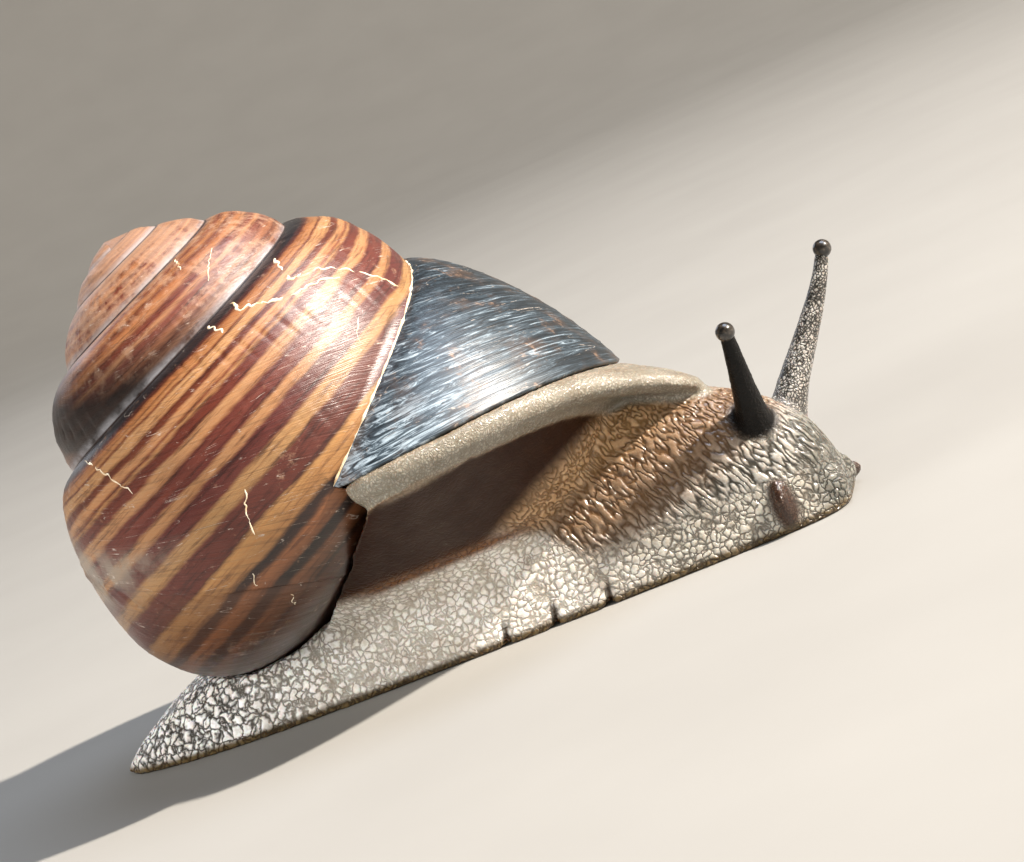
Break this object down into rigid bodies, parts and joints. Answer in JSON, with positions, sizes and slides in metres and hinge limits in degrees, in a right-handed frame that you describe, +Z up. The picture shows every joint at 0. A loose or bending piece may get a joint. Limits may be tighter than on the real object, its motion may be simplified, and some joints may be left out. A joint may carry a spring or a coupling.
{
  "type": "banded land snail model",
  "caption": "Life-size still model of a large banded land snail crawling with its feelers out, standing on its flat sole.",
  "frame": {"origin": "on the flat sole of the foot, under its middle", "axes": "+X forwards towards the head, +Y to the snail's left, +Z up from the floor"},
  "size_m": [0.0702, 0.0416, 0.0411],
  "materials": {
    "shell": "glossy banded snail shell, red-brown and tan",
    "body_skin": "moist grey-brown skin with raised tubercles",
    "collar_skin": "moist beige granular skin",
    "feeler_skin": "moist dark olive-brown skin",
    "eye": "wet dark bulb"
  },
  "bodies": {
    "root": {"shell": "shell", "mantle_collar": "collar_skin", "stalk": "body_skin", "neck": "body_skin", "head": "body_skin", "foot_front": "body_skin", "foot_rear": "body_skin", "tail": "body_skin", "mouth_lobe_right": "body_skin", "mouth_lobe_left": "body_skin", "lower_feeler_right": "feeler_skin", "lower_feeler_left": "feeler_skin", "feeler_right_lower": "feeler_skin", "feeler_right_upper": "feeler_skin", "feeler_left_lower": "feeler_skin", "feeler_left_upper": "feeler_skin", "eye_right": "eye", "eye_left": "eye"}
  },
  "joints": []
}
